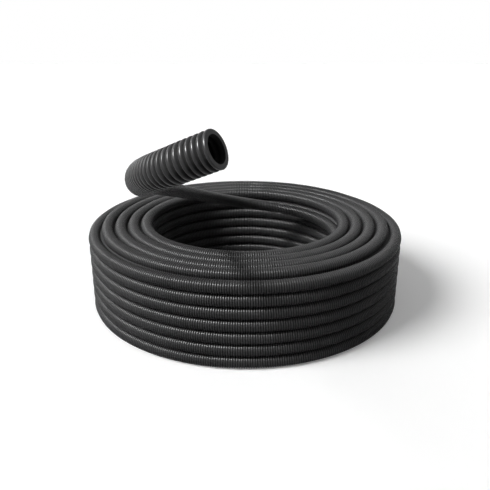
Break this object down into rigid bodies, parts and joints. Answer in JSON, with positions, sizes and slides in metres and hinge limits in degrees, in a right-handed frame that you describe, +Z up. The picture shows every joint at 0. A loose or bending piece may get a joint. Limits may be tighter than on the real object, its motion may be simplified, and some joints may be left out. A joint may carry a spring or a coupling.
{
  "type": "corrugated conduit",
  "caption": "Coil of black corrugated plastic conduit, lying flat, with one free end drawn up out of its bore to an open cut.",
  "frame": {"origin": "the middle of the coil, on the plane that its lowest turns rest on", "axes": "+Z up along the coil's axis, -Y towards the side that the free end reaches out over, +X towards the side where the free end leaves the winding"},
  "size_m": [0.5328, 0.9759, 0.4143],
  "materials": {
    "black_plastic": "satin black extruded plastic"
  },
  "bodies": {
    "root": {"conduit": "black_plastic"}
  },
  "joints": []
}
